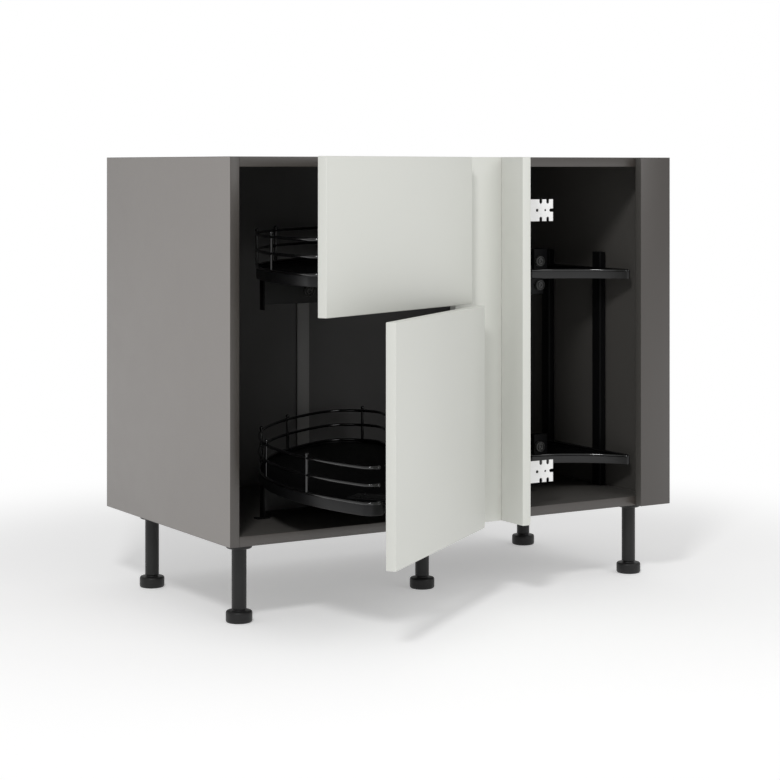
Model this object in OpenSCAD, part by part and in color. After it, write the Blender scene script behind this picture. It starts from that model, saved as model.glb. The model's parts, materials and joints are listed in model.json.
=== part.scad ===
// Corner carousel base cabinet. Two half-moon trays swing out round one pole, and each tray
// carries its own front. The blind side holds two fixed corner shelves on a steel frame.
// +X runs to the right, +Y to the wall behind, +Z up. The origin is on the floor, at the middle
// of the front left foot. The trays are drawn partly swung out.

/* [Carcass] */
// Width over the side panels
carcass_w = 1000; // [960:5:1080]
// Depth of the side panels
carcass_d = 560; // [560:5:620]
// Height without the legs
carcass_h = 720; // [700:5:760]
// Thickness of the panels
board_t = 19; // [16:0.5:22]
// Thickness of the back panel
back_t = 8; // [4:0.5:10]
// Gap between the back panel and the wall
back_inset = 11; // [5:1:20]
// Width of the strip that joins the two halves of the back panel
back_strip_w = 30; // [20:1:50]
// Thickness of that strip
back_strip_t = 4; // [2:0.5:6]
// Middle of that strip, from the left side
back_strip_x = 451; // [300:1:700]
// Width of the filler at the right
filler_w = 76; // [60:1:90]
// How far the filler stands past the right side
filler_overhang = 15; // [0:1:30]

/* [Legs] */
// Height of the legs
leg_h = 150; // [120:5:180]
// Left legs, from the left side
leg_inset_left = 46; // [40:1:80]
// Right legs, from the right side
leg_inset_right = 37; // [35:1:80]
// Front legs, from the front edge
leg_inset_front = 54; // [40:1:90]
// Back legs, from the back edge
leg_inset_back = 122; // [60:1:160]
// Middle leg, from the left side
leg_middle_x = 507; // [400:1:600]
// Middle leg, from the front edge
leg_middle_y = 143; // [60:1:200]
// Diameter of the leg tube
leg_d = 28; // [24:1:34]
// Diameter of the foot
foot_d = 50; // [42:1:60]
// Height of the foot
foot_h = 22; // [15:1:26]
// Diameter of the foot's spindle
spindle_d = 18; // [12:1:20]
// Length of the foot's spindle above the foot
spindle_l = 60; // [50:1:80]
// Diameter of the leg's socket
socket_d = 50; // [40:1:60]
// Height of the socket
socket_t = 12; // [10:0.5:16]
// How far the tube stands in the socket
socket_grip = 7; // [5:0.5:8]

/* [Fronts] */
// Width of the two fronts
front_w = 471; // [440:1:480]
// Height of the lower front
lower_front_h = 430; // [380:1:460]
// Thickness of the fronts and the corner post
front_t = 19; // [16:0.5:22]
// Gap around the fronts
front_gap = 3; // [2:0.5:4]
// Gap between the fronts and the carcass
front_bump = 2; // [1:0.5:4]
// Gap between the outer edge of a front and the side of the carcass
side_reveal = 2; // [1:0.5:4]
// Gap that lets the fronts swing past the corner post
swing_gap = 7; // [7:0.5:12]
// Width of the corner post's face
post_face_w = 109; // [105:1:130]
// How far the corner post's return stands out from its face
post_return_d = 73; // [40:1:90]

/* [Carousel] */
// Middle of the pole, from the left edge of the corner post
pole_from_post = 92; // [88:1:96]
// Middle of the pole, behind the front edge of the carcass
pole_set_back = 14; // [14:0.5:20]
// Diameter of the pole
pole_d = 20; // [16:0.5:21]
// Running clearance of the bushes on the pole, on the radius
bush_clearance = 0.05; // [0.02:0.01:0.1]
// Wall of a bush
bush_t = 2; // [1:0.25:2.5]
// Wall of a hub
hub_t = 3; // [2:0.25:3]
// Height of a hub
hub_h = 110; // [80:5:140]
// Underside of the lower tray above the carcass floor's underside
lower_tray_z = 85; // [70:1:110]
// Distance from the lower tray to the upper tray
tray_pitch = 400; // [380:1:420]
// How far the lower carousel stands open, in degrees
lower_open = 37; // [0:1:70]
// How far the upper carousel stands open, in degrees
upper_open = 23.5; // [0:0.5:70]
// How far a carousel opens, in degrees
full_open = 76; // [60:1:76]

/* [Trays] */
// Gap between the tray's tip and the left side panel when it is closed
tray_side_gap = 29; // [25:1:60]
// Distance from the pole's middle to the tray's straight edge
tray_edge = 20; // [18:1:30]
// Thickness of the tray's board
tray_t = 16; // [10:1:19]
// Height of the tray's rim
rim_h = 23; // [20:1:40]
// Thickness of the tray's rim
rim_t = 3; // [2:0.5:5]
// Diameter of the rail wires
wire_d = 6; // [4:0.5:8]
// Middle of the lower rail above the tray's underside
rail_low = 54; // [40:1:60]
// Middle of the upper rail above the tray's underside
rail_high = 85; // [70:1:100]
// Diameter of the balls on the rail's posts
ball_d = 10; // [7:0.5:12]

/* [Corner frame] */
// Width of an upright
upright_w = 15; // [12:1:20]
// Depth of an upright
upright_d = 28; // [20:1:34]
// Gap between the uprights and the right side panel
upright_gap = 5; // [3:1:12]
// Middle of the front upright, behind the front edge
upright_front_y = 164; // [158:1:180]
// Middle of the rear upright, behind the front edge
upright_rear_y = 350; // [300:1:380]
// Height of the uprights above the carcass floor
upright_h = 500; // [480:1:540]
// Top of the lower corner shelf above the carcass floor's underside
lower_shelf_z = 96; // [90:1:99]
// Distance from the lower shelf to the upper shelf
shelf_pitch = 389; // [380:1:392]
// Height of a corner shelf's rim
shelf_rim_h = 19; // [14:1:24]
// Thickness of a corner shelf's board
shelf_t = 12; // [8:1:14]
// Height of a support beam
beam_h = 48; // [40:1:52]
// Thickness of a support beam
beam_t = 17; // [12:1:20]
// Left end of the beams, from the left side
beam_left = 152; // [120:1:200]
// Left tip of the corner shelves, from the pole's middle
shelf_tip_x = 215; // [205:1:240]
// Back edge of the corner shelves, behind the front edge
shelf_back = 410; // [380:1:430]
// Gap between the corner shelves and the closed trays
shelf_clear = 25; // [15:1:40]
// Gap between the beams and the trays
beam_gap = 3; // [2:0.5:5]

/* [Fittings] */
// Thickness of the steel angles and brackets
plate_t = 3; // [2:0.5:4]
// Length of a tie plate
tie_l = 136; // [120:1:150]
// Height of a tie plate
tie_h = 44; // [40:1:60]
// Lower tie plate above the carcass floor's underside
tie_low = 88.5; // [80:0.5:130]
// Upper tie plate below the top of the carcass
tie_high = 106.5; // [80:0.5:130]
// Diameter of the clamp bolts' heads
bolt_head_d = 22; // [16:1:24]

/* [Hidden] */
$fn = 64;

panel_tone = "#6b6560";
edge_tone = "#54504b";
front_tone = "#cdcec8";
steel_tone = "#1d1d1e";
plastic_tone = "#2d2d2d";

// Levels above the floor
z_bottom = leg_h;
z_top = leg_h + carcass_h;
z_floor = z_bottom + board_t;
z_ceiling = z_top - board_t;
z_tray = [z_bottom + lower_tray_z, z_bottom + lower_tray_z + tray_pitch];
z_shelf = [z_bottom + lower_shelf_z - shelf_rim_h, z_bottom + lower_shelf_z + shelf_pitch - shelf_rim_h];
z_beam = [z_tray[0] - beam_gap, z_tray[1] - beam_gap];

// Inner width and depth, from the left side and the front edge
inner_right = carcass_w - board_t;
inner_back = carcass_d - back_inset - back_t;
inner_w = carcass_w - 2 * board_t;

// Fronts: the lower edge stands a little above the carcass floor's underside
front_foot = 2;
front_z = [z_bottom + front_foot, z_bottom + front_foot + lower_front_h + front_gap];
upper_front_h = z_top - front_z[1];
front_right = side_reveal + front_w;
front_face = -front_bump - front_t;

// Corner post and pole
post_left = front_right + swing_gap;
post_corner = post_left + post_face_w;
pole_x = post_left + pole_from_post;
pole_y = pole_set_back;
bush_r = pole_d / 2 + bush_clearance;
sleeve_r = bush_r + bush_t;
hub_r = sleeve_r + hub_t;
boss_h = 16;
flange_t = 4;

// Tray outline about the pole with the carousel closed: five arcs, each tangent to the next.
// "outer" is the long back arc, "tip" the left corner, "tail" the right corner, "waist" the
// hollow side towards the corner shelf, and "heel" the corner beside the hub. A notch beside the
// pole lets the tray swing past the corner post.
outer_c = [80, -166];
outer_r = norm([pole_x - board_t - tray_side_gap + outer_c[0], tray_edge - outer_c[1]]);
tip_r = 24;
tail_r = 75;
tail_turn = 77;
heel_r = 30;
heel_x = 40;
waist_r = 420;
tip_c = [
  outer_c[0] - sqrt(pow(outer_r - tip_r, 2) - pow(tray_edge + tip_r - outer_c[1], 2)),
  tray_edge + tip_r
];
tail_c = outer_c + (outer_r - tail_r) * [cos(tail_turn), sin(tail_turn)];
heel_c = [heel_x, tray_edge + heel_r];
waist_c = meeting_point(tail_c, waist_r + tail_r, heel_c, waist_r + heel_r);
notch_clear = 5;
notch_r = norm([pole_from_post, pole_set_back - front_face]) + notch_clear;
notch_lift = pole_set_back;

// Centre of a circle that is far_a from point a and far_b from point b, to the right of a to b
function meeting_point(a, far_a, b, far_b) =
  let (
    span = norm(b - a),
    along = (far_a * far_a - far_b * far_b + span * span) / (2 * span),
    off = sqrt(far_a * far_a - along * along),
    u = (b - a) / span
  )
  a + along * u + off * [-u[1], u[0]];

function heading(from, to) = atan2(to[1] - from[1], to[0] - from[0]);

// Corner shelf: it follows the closed tray at the left and a hollow arc in front
upright_left = inner_right - upright_gap - upright_w;
shelf_tip = pole_x + shelf_tip_x;
scoop_c = [shelf_tip, pole_y] + [-43.5, -107.5];
scoop_r = 255.5;
beam_front = upright_front_y - upright_d / 2;
beam_past_tip = 26;
beam_right = shelf_tip + beam_past_tip;

// Legs: plan places from the left side and the front edge
leg_front_left = [leg_inset_left, leg_inset_front];
leg_front_middle = [leg_middle_x, leg_middle_y];
leg_front_right = [carcass_w - leg_inset_right, leg_inset_front];
leg_back_left = [leg_inset_left, carcass_d - leg_inset_back];
leg_back_right = [carcass_w - leg_inset_right, carcass_d - leg_inset_back];
spindle_clearance = 0.05;
socket_chamfer = 4;
foot_chamfer = 2;

// Small fittings
angle_w = 40;
angle_leg = 42;
angle_x = post_left + 12;
tie_t = front_bump;
tie_left = post_corner + 3;
hole_r = 2.5;
pad_r = 9;
stay_w = 24;
post_stand = 8;
post_d = wire_d + 0.6;
wire_gap = 1;
sleeve_d = wire_d + 1.6;
sleeve_l = 8;
wire_end = 240;
first_post = 145.6;
post_pitch = 18.5;

// The cabinet's left front corner stands one leg inset from the origin
module cabinet() translate([-leg_inset_left, -leg_inset_front, 0]) children();

// A carousel's own frame: its pole is the origin, and it is turned open by angle
module carousel(angle) cabinet() translate([pole_x, pole_y, 0]) rotate(angle) children();

module box(from, to) translate(from) cube(to - from);

// ---- Carcass ----

module side_panel(x) color(panel_tone) cabinet()
  box([x, 0, z_bottom], [x + board_t, carcass_d, z_top]);

module side_panel_left() side_panel(0);
module side_panel_right() side_panel(inner_right);

module bottom_panel() color(panel_tone) cabinet()
  box([board_t, 0, z_bottom], [inner_right, inner_back, z_floor]);

module top_panel() color(panel_tone) cabinet()
  box([board_t, 0, z_ceiling], [inner_right, inner_back, z_top]);

module back_panel() color(panel_tone) cabinet()
  box([board_t, inner_back, z_bottom], [inner_right, inner_back + back_t, z_top]);

module back_joint_strip() color(edge_tone) cabinet()
  box([back_strip_x - back_strip_w / 2, inner_back - back_strip_t, z_floor],
      [back_strip_x + back_strip_w / 2, inner_back, z_beam[1]]);

module right_filler() color(edge_tone) cabinet()
  box([carcass_w + filler_overhang - filler_w, -board_t, z_bottom],
      [carcass_w + filler_overhang, 0, z_top]);

// ---- Corner post ----

module corner_post_face() color(front_tone) cabinet()
  box([post_left, front_face, front_z[0]], [post_corner, -front_bump, z_top]);

module corner_post_return() color(front_tone) cabinet()
  box([post_corner, front_face - post_return_d, front_z[0]],
      [post_corner + front_t, -front_bump, z_top]);

// A steel angle: one leg on the back of the post, the other on the carcass panel
module post_angle() {
  box([angle_x, -front_bump, 0], [angle_x + angle_w, 0, angle_leg]);
  difference() {
    box([angle_x, -front_bump, 0], [angle_x + angle_w, angle_leg, front_bump]);
    for (side = [-1, 1])
      translate([angle_x + angle_w / 2 + side * angle_w / 4, angle_leg / 2, -1])
        cylinder(r = hole_r, h = front_bump + 2);
  }
}

module corner_post_angles() color(steel_tone) cabinet() {
  translate([0, 0, z_floor]) post_angle();
  translate([0, 0, z_ceiling]) mirror([0, 0, 1]) post_angle();
}

slot_w = 7;
slot_l = 9;
slot_places = [tie_l - 13, tie_l - 30];
hole_places = [10, tie_l - 19, tie_l - 39];
// A white steel plate behind the corner post, with open slots above and below and holes
module tie_plate(z) color("white") cabinet() translate([tie_left, -front_bump, z]) difference() {
  box([0, 0, -tie_h / 2], [tie_l, tie_t, tie_h / 2]);
  for (x = slot_places, end = [-1, 1])
    box([x - slot_w / 2, -1, end * tie_h / 2 - slot_l],
        [x + slot_w / 2, tie_t + 1, end * tie_h / 2 + slot_l]);
  box([tie_l - slot_l, -1, -slot_w / 2], [tie_l + slot_l, tie_t + 1, slot_w / 2]);
  for (x = hole_places)
    translate([x, -1, 0]) rotate([-90, 0, 0]) cylinder(r = hole_r, h = tie_t + 2);
}

module tie_plate_upper() tie_plate(z_top - tie_high);
module tie_plate_lower() tie_plate(z_bottom + tie_low);

// ---- Pole ----

module pivot_pole() color(steel_tone) cabinet()
  translate([pole_x, pole_y, z_floor + flange_t]) cylinder(d = pole_d, h = z_ceiling - z_floor - 2 * flange_t);

// A flange with a boss that the pole stands in
module pole_flange() {
  box([-28, -pole_y + 0.5, 0], [28, 46, flange_t]);
  translate([0, 0, flange_t]) difference() {
    cylinder(r = hub_r, h = boss_h);
    translate([0, 0, -1]) cylinder(d = pole_d, h = boss_h + 2);
  }
}

module pole_foot_flange() color(plastic_tone) cabinet()
  translate([pole_x, pole_y, z_floor]) pole_flange();

module pole_top_flange() color(plastic_tone) cabinet()
  translate([pole_x, pole_y, z_ceiling]) mirror([0, 0, 1]) pole_flange();

// ---- Frame in the blind corner ----

// An upright with two lugs that reach the right side panel
module upright(y) color(steel_tone) cabinet() {
  box([upright_left, y - upright_d / 2, z_floor],
      [upright_left + upright_w, y + upright_d / 2, z_floor + upright_h]);
  for (z = [z_floor + 20, z_floor + upright_h - 45])
    box([upright_left + upright_w, y - upright_d / 4, z], [inner_right, y + upright_d / 4, z + 25]);
}

module upright_front() upright(upright_front_y);
module upright_rear() upright(upright_rear_y);

// A beam from the tip of the corner shelf towards the left, notched where the shelf lies on it
module beam(level) color(steel_tone) cabinet() difference() {
  box([beam_left, beam_front, z_beam[level] - beam_h], [beam_right, beam_front + beam_t, z_beam[level]]);
  box([shelf_tip - 4, beam_front - 1, z_shelf[level]],
      [beam_right + 1, beam_front + beam_t + 1, z_beam[level] + 1]);
}

module beam_lower() beam(0);
module beam_upper() beam(1);

// Holds up the lower beam's left end
module beam_foot_lower() color(steel_tone) cabinet() {
  box([beam_left - plate_t, beam_front, z_floor + plate_t], [beam_left, beam_front + beam_t, z_beam[0]]);
  box([beam_left - 16, beam_front, z_floor], [beam_left + 12, beam_front + beam_t, z_floor + plate_t]);
}

// Closes the upper beam's left end and hangs a little below it
module beam_end_upper() color(steel_tone) cabinet()
  box([beam_left - plate_t, beam_front, z_beam[1] - beam_h - 11],
      [beam_left, beam_front + beam_t, z_beam[1]]);

// A collar on the pole with an arm back to the beam
module beam_stay(level) color(steel_tone) cabinet() translate([pole_x, pole_y, 0]) {
  translate([0, 0, z_beam[level] - 40]) difference() {
    cylinder(r = hub_r, h = 42);
    translate([0, 0, -1]) cylinder(d = pole_d, h = 44);
  }
  difference() {
    box([-stay_w / 4, 0, z_beam[level] - 36], [stay_w / 4, beam_front - pole_y, z_beam[level] - 6]);
    translate([0, 0, z_beam[level] - 37]) cylinder(d = pole_d + 2, h = 40);
  }
}

module beam_stay_lower() beam_stay(0);
module beam_stay_upper() beam_stay(1);

// Plastic pads on the beams that the trays glide over
module glide_pads() color(plastic_tone) cabinet()
  for (level = [0, 1], x = [beam_left + 60, pole_x - 60, pole_x + 60])
    translate([x, beam_front + beam_t / 2, z_beam[level]]) cylinder(r = pad_r - 1, h = beam_gap - 0.4);

// Outline of a corner shelf, drawn in by inset
module shelf_outline(inset) difference() {
  translate([shelf_tip + inset, inset])
    square([upright_left - shelf_tip - 2 * inset, shelf_back - 2 * inset]);
  translate([pole_x, pole_y]) tray_outline(-shelf_clear - inset);
  translate(scoop_c) circle(scoop_r + inset);
}

module corner_shelf(level) color(steel_tone) cabinet() translate([0, 0, z_shelf[level]])
  linear_extrude(shelf_t) shelf_outline(rim_t);

module corner_rim(level) color(steel_tone) cabinet() translate([0, 0, z_shelf[level]])
  linear_extrude(shelf_rim_h) difference() {
    shelf_outline(0);
    shelf_outline(rim_t);
  }

module corner_shelf_lower() corner_shelf(0);
module corner_shelf_upper() corner_shelf(1);
module corner_rim_lower() corner_rim(0);
module corner_rim_upper() corner_rim(1);

// Blocks on the tips of the shelves that clamp them to the beams
block_w = 35;
block_h = 44;
block_x = shelf_tip + 2;
bolt_x = block_x + 12;
bolt_rise = 18;
bolt_drop = 13;
bolt_inset = 95;
module clamp_blocks() color(plastic_tone) cabinet() for (level = [0, 1])
  box([block_x, beam_front, z_shelf[level] + shelf_rim_h],
      [block_x + block_w, beam_front + beam_t, z_shelf[level] + shelf_rim_h + block_h]);

// A bolt with a broad round head in the front of a block or a beam
module clamp_bolt(x, z) translate([x, beam_front, z]) rotate([90, 0, 0]) {
  cylinder(d = bolt_head_d, h = 6);
  translate([0, 0, 6]) cylinder(d1 = bolt_head_d, d2 = bolt_head_d - 4, h = 2);
}

// One through each block, one in the beam below it, and one near the beam's left end
module clamp_bolts() color(plastic_tone) cabinet() for (level = [0, 1]) {
  clamp_bolt(bolt_x, z_shelf[level] + shelf_rim_h + bolt_rise);
  clamp_bolt(bolt_x, z_shelf[level] - bolt_drop);
  clamp_bolt(beam_left + bolt_inset, z_beam[level] - beam_h / 2);
}

// ---- Legs ----

// A round socket under the carcass floor, chamfered below and open for the tube
module leg_socket(place) color(plastic_tone) cabinet()
  translate([place[0], place[1], z_bottom]) mirror([0, 0, 1]) difference() {
    union() {
      cylinder(d = socket_d, h = socket_t - socket_chamfer);
      translate([0, 0, socket_t - socket_chamfer])
        cylinder(d1 = socket_d, d2 = socket_d - 2 * socket_chamfer, h = socket_chamfer);
    }
    translate([0, 0, socket_t - socket_grip]) cylinder(d = leg_d, h = socket_grip + 1);
  }

// A tube with a bore for the foot's spindle
module leg_tube(place) color(plastic_tone) cabinet() translate([place[0], place[1], foot_h]) difference() {
  cylinder(d = leg_d, h = z_bottom - socket_t + socket_grip - foot_h);
  translate([0, 0, -1]) cylinder(r = spindle_d / 2 + spindle_clearance, h = spindle_l + 6);
}

// A round foot with chamfered edges and a spindle
module foot(place) color(plastic_tone) cabinet() translate([place[0], place[1], 0]) {
  cylinder(d1 = foot_d - 2 * foot_chamfer, d2 = foot_d, h = foot_chamfer);
  translate([0, 0, foot_chamfer]) cylinder(d = foot_d, h = foot_h - 2 * foot_chamfer);
  translate([0, 0, foot_h - foot_chamfer])
    cylinder(d1 = foot_d, d2 = foot_d - 2 * foot_chamfer, h = foot_chamfer);
  translate([0, 0, foot_h]) cylinder(d = spindle_d, h = spindle_l);
}

module leg_socket_front_left() leg_socket(leg_front_left);
module leg_socket_front_middle() leg_socket(leg_front_middle);
module leg_socket_front_right() leg_socket(leg_front_right);
module leg_socket_back_left() leg_socket(leg_back_left);
module leg_socket_back_right() leg_socket(leg_back_right);
module leg_tube_front_left() leg_tube(leg_front_left);
module leg_tube_front_middle() leg_tube(leg_front_middle);
module leg_tube_front_right() leg_tube(leg_front_right);
module leg_tube_back_left() leg_tube(leg_back_left);
module leg_tube_back_right() leg_tube(leg_back_right);
module foot_front_left() foot(leg_front_left);
module foot_front_middle() foot(leg_front_middle);
module foot_front_right() foot(leg_front_right);
module foot_back_left() foot(leg_back_left);
module foot_back_right() foot(leg_back_right);

// ---- Carousels: each is drawn about its pole, closed, and then turned open ----

function open_angle(level) = level == 0 ? lower_open : upper_open;
function front_height(level) = level == 0 ? lower_front_h : upper_front_h;

module on_carousel(level) carousel(open_angle(level)) children();

module front(level) color(front_tone) on_carousel(level)
  box([side_reveal - pole_x, front_face - pole_y, front_z[level]],
      [front_right - pole_x, -front_bump - pole_y, front_z[level] + front_height(level)]);

// Two steel angles that hold the front on the tray
bracket_w = 60;
bracket_reach = 110;
bracket_places = [-450, -220];
bracket_below = 20;
bracket_above = 70;
module front_brackets(level) color(steel_tone) on_carousel(level) for (x = bracket_places) {
  back = -front_bump - pole_y;
  seat = z_tray[level] + tray_t;
  box([x, back, z_tray[level] - bracket_below], [x + bracket_w, back + plate_t, z_tray[level] + bracket_above]);
  difference() {
    box([x, back + plate_t, seat], [x + bracket_w, bracket_reach, seat + plate_t]);
    for (side = [0.25, 0.75])
      translate([x + side * bracket_w, bracket_reach - 20, seat - 1]) cylinder(r = hole_r, h = plate_t + 2);
  }
}

// A sleeve round the pole with a foot plate that lies on the tray's board
hub_plate = [[-12, 0], [hub_r, 0], [heel_x, 60], [90, 190], [-58, 190]];
module hub(level) color(steel_tone) on_carousel(level) {
  seat = z_tray[level] + tray_t;
  difference() {
    union() {
      translate([0, 0, z_tray[level]]) cylinder(r = hub_r, h = hub_h);
      translate([0, 0, seat]) linear_extrude(plate_t)
        polygon(hub_plate);
    }
    translate([0, 0, z_tray[level] - 1]) cylinder(r = sleeve_r, h = hub_h + 2);
  }
}

// A plastic bush at each end of the hub
bush_l = 25;
module hub_bushes(level) color(plastic_tone) on_carousel(level)
  for (z = [z_tray[level], z_tray[level] + hub_h - bush_l]) translate([0, 0, z]) difference() {
    cylinder(r = sleeve_r, h = bush_l);
    translate([0, 0, -1]) cylinder(r = bush_r, h = bush_l + 2);
  }

// The tray's outline, drawn in by inset. The polygon's sides run through the arcs' centres.
module tray_outline(inset) {
  beyond = 1.7 * outer_r;
  difference() {
    intersection() {
      translate(outer_c) circle(outer_r - inset, $fn = 128);
      polygon([
        [tip_c[0], tray_edge + inset], tip_c,
        outer_c + beyond * (tip_c - outer_c) / norm(tip_c - outer_c),
        outer_c + beyond * (tail_c - outer_c) / norm(tail_c - outer_c),
        tail_c, waist_c, heel_c, [heel_c[0], tray_edge + inset]
      ]);
    }
    translate(waist_c) circle(waist_r + inset, $fn = 128);
  }
  translate(tip_c) circle(tip_r - inset);
  translate(tail_c) circle(tail_r - inset);
  translate(heel_c) circle(heel_r - inset);
}

// The notch: it ends at a line that lies along the back of the corner post at full opening
module notch() intersection() {
  circle(notch_r);
  rotate(-full_open) translate([-2 * notch_r, -notch_lift - 2 * notch_r]) square([4 * notch_r, 2 * notch_r]);
}

module tray_board(level) color("#26262a") on_carousel(level)
  translate([0, 0, z_tray[level]]) linear_extrude(tray_t) difference() {
    tray_outline(rim_t);
    notch();
  }

// The rim runs round the tray and leaves its straight edge open
module tray_rim(level) color(steel_tone) on_carousel(level)
  translate([0, 0, z_tray[level]]) linear_extrude(rim_h) difference() {
    tray_outline(0);
    tray_outline(rim_t);
    translate([tip_c[0], 0]) square([heel_c[0] - tip_c[0], tray_edge + tip_r]);
  }

// One arc of wire about centre c, from angle a up to angle b, with each end a little short
module wire_arc(c, r, a, b) {
  short = wire_gap / 2 / r * 180 / PI;
  translate(c) rotate(a + short) rotate_extrude(angle = b - a - 2 * short, $fn = 72)
    translate([r, 0]) circle(d = wire_d, $fn = 8);
}

// A sleeve over the ends of two arcs that meet at angle a on the arc about centre c
module sleeve(c, r, a) translate(c + r * [cos(a), sin(a)]) rotate(a) rotate([90, 0, 0])
  cylinder(d = sleeve_d, h = sleeve_l, center = true);

// A wire over the rim, open at the tray's straight edge
module wire_line() {
  inset = rim_t / 2;
  to_tip = heading(outer_c, tip_c);
  to_tail = heading(outer_c, tail_c);
  to_waist = heading(tail_c, waist_c);
  heel_to_waist = heading(heel_c, waist_c);
  wire_arc(outer_c, outer_r - inset, to_tail, to_tip);
  wire_arc(tip_c, tip_r - inset, to_tip, wire_end);
  translate(tip_c + (tip_r - inset) * [cos(wire_end), sin(wire_end)]) sphere(d = ball_d, $fn = 16);
  wire_arc(tail_c, tail_r - inset, to_waist, to_tail);
  wire_arc(waist_c, waist_r + inset, to_waist + 180, heel_to_waist + 180);
  wire_arc(heel_c, heel_r - inset, -90, heel_to_waist);
  sleeve(outer_c, outer_r - inset, to_tip);
  sleeve(outer_c, outer_r - inset, to_tail);
  sleeve(tail_c, tail_r - inset, to_waist);
  sleeve(heel_c, heel_r - inset, heel_to_waist);
}

// A post with a ball on its end, standing on the rim
module rail_post(place, level) translate([place[0], place[1], z_tray[level] + rim_h]) {
  tall = rail_high + post_stand - rim_h;
  cylinder(d = post_d, h = tall, $fn = 8);
  translate([0, 0, tall]) sphere(d = ball_d, $fn = 16);
}

module tray_railing(level) color(steel_tone) on_carousel(level) {
  for (z = [rail_low, rail_high]) translate([0, 0, z_tray[level] + z]) wire_line();
  for (turn = [first_post:-post_pitch:90])
    rail_post(outer_c + (outer_r - rim_t / 2) * [cos(turn), sin(turn)], level);
  rail_post(tail_c + (tail_r - rim_t / 2) * [1, 0], level);
  rail_post(heel_c + (heel_r - rim_t / 2) * [0, -1], level);
  for (turn = [135, 155])
    rail_post(waist_c + (waist_r + rim_t / 2) * [cos(turn), sin(turn)], level);
}

module front_lower() front(0);
module front_brackets_lower() front_brackets(0);
module hub_lower() hub(0);
module hub_bushes_lower() hub_bushes(0);
module tray_board_lower() tray_board(0);
module tray_rim_lower() tray_rim(0);
module tray_railing_lower() tray_railing(0);
module front_upper() front(1);
module front_brackets_upper() front_brackets(1);
module hub_upper() hub(1);
module hub_bushes_upper() hub_bushes(1);
module tray_board_upper() tray_board(1);
module tray_rim_upper() tray_rim(1);
module tray_railing_upper() tray_railing(1);

side_panel_left();
side_panel_right();
bottom_panel();
top_panel();
back_panel();
back_joint_strip();
right_filler();
corner_post_face();
corner_post_return();
corner_post_angles();
tie_plate_upper();
tie_plate_lower();
pivot_pole();
pole_foot_flange();
pole_top_flange();
upright_front();
upright_rear();
beam_lower();
beam_upper();
beam_foot_lower();
beam_end_upper();
beam_stay_lower();
beam_stay_upper();
glide_pads();
corner_shelf_lower();
corner_shelf_upper();
corner_rim_lower();
corner_rim_upper();
clamp_blocks();
clamp_bolts();
leg_socket_front_left();
leg_socket_front_middle();
leg_socket_front_right();
leg_socket_back_left();
leg_socket_back_right();
leg_tube_front_left();
leg_tube_front_middle();
leg_tube_front_right();
leg_tube_back_left();
leg_tube_back_right();
foot_front_left();
foot_front_middle();
foot_front_right();
foot_back_left();
foot_back_right();
front_lower();
front_brackets_lower();
hub_lower();
hub_bushes_lower();
tray_board_lower();
tray_rim_lower();
tray_railing_lower();
front_upper();
front_brackets_upper();
hub_upper();
hub_bushes_upper();
tray_board_upper();
tray_rim_upper();
tray_railing_upper();
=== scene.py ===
import json
import math

import bmesh
import bpy
from mathutils import Matrix, Vector


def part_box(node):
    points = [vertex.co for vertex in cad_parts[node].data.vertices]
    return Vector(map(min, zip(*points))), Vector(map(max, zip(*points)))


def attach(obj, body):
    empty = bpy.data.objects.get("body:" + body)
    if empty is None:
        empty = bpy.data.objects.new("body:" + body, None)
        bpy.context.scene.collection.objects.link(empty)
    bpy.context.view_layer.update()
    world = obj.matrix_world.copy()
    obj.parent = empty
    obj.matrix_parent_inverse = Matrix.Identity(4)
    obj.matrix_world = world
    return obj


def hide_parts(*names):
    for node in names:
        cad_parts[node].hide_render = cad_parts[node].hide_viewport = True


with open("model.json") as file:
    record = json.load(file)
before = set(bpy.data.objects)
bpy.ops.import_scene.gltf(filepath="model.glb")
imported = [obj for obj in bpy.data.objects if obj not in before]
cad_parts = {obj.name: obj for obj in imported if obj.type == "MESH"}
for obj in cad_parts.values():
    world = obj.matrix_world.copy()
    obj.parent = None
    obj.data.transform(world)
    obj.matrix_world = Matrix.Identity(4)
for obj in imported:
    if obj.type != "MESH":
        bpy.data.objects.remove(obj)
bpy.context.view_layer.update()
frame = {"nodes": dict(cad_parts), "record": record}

MM = 0.001


# ---- Sizes, in millimetres from the left side, the front edge and the floor, as the part has them ----

# The front left foot, where the shared frame starts
CORNER = (46.0, 54.0, 0.0)


def low(node):
    """Lowest corner of a CAD node, in millimetres in the cabinet's own frame."""
    return [c / MM + o for c, o in zip(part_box(node)[0], CORNER)]


def high(node):
    """Highest corner of a CAD node, in millimetres in the cabinet's own frame."""
    return [c / MM + o for c, o in zip(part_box(node)[1], CORNER)]


POLE = [(a + b) / 2 for a, b in zip(low("pivot_pole")[:2], high("pivot_pole")[:2])]
LEVELS = ("lower", "upper")
LEGS = ("front_left", "front_middle", "front_right", "back_left", "back_right")

# Fronts, closed, and how far each stands open at rest
FRONT_LEFT, FRONT_RIGHT = 2.0, 473.0
FRONT_FACE, FRONT_BACK = -21.0, -2.0
OPEN_ANGLE = {"lower": 37.0, "upper": 23.5}

# Tray outline about the pole, closed: a straight front edge, a tip, the outer arc, a tail, a waist and a heel
TRAY_EDGE = 20.0
OUTER_C = Vector((80.0, -166.0))
OUTER_R = math.hypot(604.0, 186.0)
TIP_R, TAIL_R, HEEL_R, WAIST_R = 24.0, 75.0, 30.0, 420.0
TAIL_TURN = 77.0
TIP_C = Vector((
    OUTER_C.x - math.sqrt((OUTER_R - TIP_R) ** 2 - (TRAY_EDGE + TIP_R - OUTER_C.y) ** 2),
    TRAY_EDGE + TIP_R,
))
NOTCH_R, NOTCH_LIFT, FULL_OPEN = 103.4, 14.0, 76.0

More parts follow.
